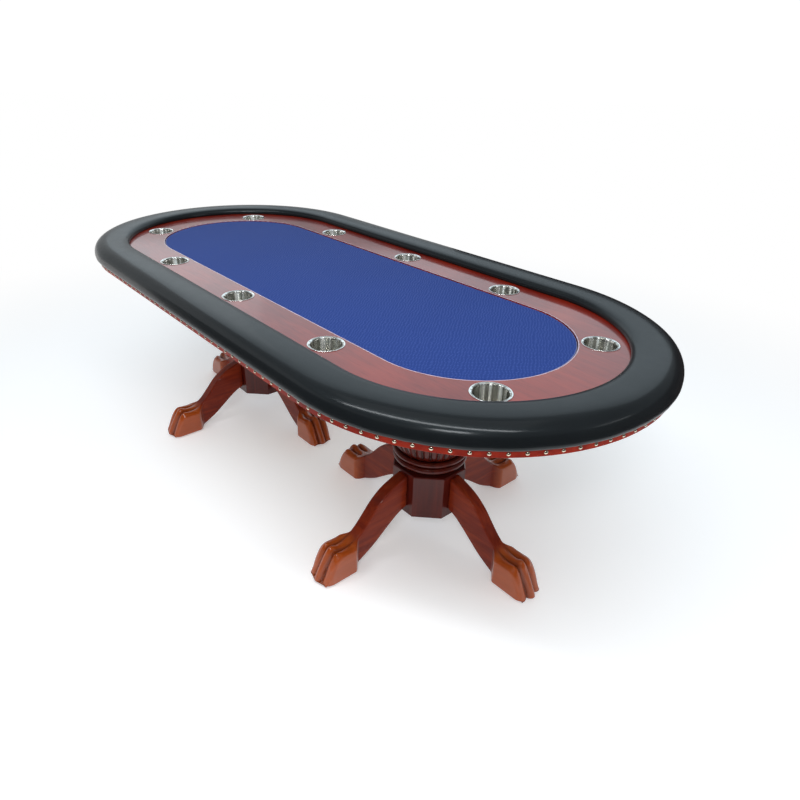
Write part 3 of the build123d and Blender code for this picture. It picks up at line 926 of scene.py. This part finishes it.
wall_points, wall_faces = [], []
for number in range(WALL_SIDES):
    turn = 2 * math.pi * number / WALL_SIDES
    top = WALL_HIGH if 150 < 360 * number / WALL_SIDES < 320 else WALL_LOW
    for height in (-0.5, top):
        wall_points.append((WALL_R * math.cos(turn), WALL_R * math.sin(turn), height))
    following = (number + 1) % WALL_SIDES
    wall_faces.append((2 * number, 2 * following, 2 * following + 1, 2 * number + 1))
wall_glow = glowing("studio_wall_white", (0.94, 0.98, 1, 1), 0.55)
wall = stage_piece("studio_wall", wall_points, wall_faces, wall_glow)
hide_from(wall, ["camera"])

bpy.ops.mesh.primitive_uv_sphere_add(segments=64, ring_count=32, radius=29.5)
dome = bpy.context.object
dome.name = "studio_dome"
dome.data.materials.append(glowing("studio_dome_white", (1, 1, 1, 1), 1.02).material)
hide_from(dome, ["diffuse", "glossy", "shadow", "transmission", "volume_scatter"])
dome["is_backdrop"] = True

world = bpy.data.worlds.new("studio")
world.use_nodes = True
background = world.node_tree.nodes["Background"]
background.inputs["Color"].default_value = (0.85, 0.94, 1, 1)
background.inputs["Strength"].default_value = 0.30
bpy.context.scene.world = world


def soft_light(name, place, aim, size, power, colour=(0.94, 0.98, 1.0)):
    lamp = bpy.data.lights.new(name, "AREA")
    lamp.shape = "RECTANGLE"
    lamp.size, lamp.size_y = size
    lamp.energy = power
    lamp.color = colour
    light = bpy.data.objects.new(name, lamp)
    light.location = place
    light.rotation_mode = "QUATERNION"
    light.rotation_quaternion = (Vector(aim) - Vector(place)).to_track_quat("-Z", "Y")
    bpy.context.scene.collection.objects.link(light)


soft_light("overhead", (0.2, -0.1, 3.7), (0.1, 0, 0.7), (3.2, 2.4), 12)
soft_light("behind", (-3.4, 3.6, 3.9), (0.0, 0, 0.7), (9.0, 3.8), 88, (0.76, 0.91, 1.0))
soft_light("strip", (1.0, -1.35, 3.35), (0.45, -0.28, 0.72), (3.9, 0.32), 68)
soft_light("front", (2.7, -2.7, 3.3), (0.4, -0.2, 0.6), (1.1, 0.55), 40)
soft_light("side", (3.8, 1.6, 1.4), (0.3, 0, 0.5), (1.2, 1.6), 16)

FLAG_R = 1.05
FLAG_END = 0.635
FLAG_LOW, FLAG_HIGH = 0.30, 0.98
flag_line = [(-1.2, -FLAG_R), (FLAG_END, -FLAG_R)]
for turn in np.linspace(-1.5, 1.5, 25):
    flag_line.append((FLAG_END + FLAG_R * math.cos(turn), FLAG_R * math.sin(turn)))
flag_line += [(FLAG_END, FLAG_R), (-0.4, FLAG_R)]
flag_points = [(x, y, z) for x, y in flag_line for z in (FLAG_LOW, FLAG_HIGH)]
flag_faces = [(2 * i, 2 * i + 2, 2 * i + 3, 2 * i + 1) for i in range(len(flag_line) - 1)]
flag_cloth = Finish("studio_flag_cloth", {"Base Color": (0.020, 0.008, 0.008, 1), "Roughness": 0.9})
flag = stage_piece("studio_flag", flag_points, flag_faces, flag_cloth)
hide_from(flag, ["camera", "diffuse", "shadow", "transmission"])

# ------------------------------------------------------------------ camera
# It stands at a corner of the table, above its top, and looks down along it. The small shift
# stands in for a lens whose middle isn't the middle of the picture.
camera_data = bpy.data.cameras.new("camera")
camera_data.sensor_width = 36
camera_data.lens = 28.19
camera_data.shift_x = 0.0222
camera_data.shift_y = -0.0312
camera_data.clip_start = 0.05
camera_data.clip_end = 200
camera = bpy.data.objects.new("camera", camera_data)
camera.location = (1.7014, -1.2227, 1.3992)
CAMERA_AIM = Vector((-0.6771, 0.5833, -0.4488))
CAMERA_ROLL = math.radians(1.24)
camera.rotation_mode = "QUATERNION"
level = CAMERA_AIM.to_track_quat("-Z", "Y")
camera.rotation_quaternion = level @ Quaternion((0, 0, 1), CAMERA_ROLL)
bpy.context.scene.collection.objects.link(camera)
bpy.context.scene.camera = camera

low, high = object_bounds()
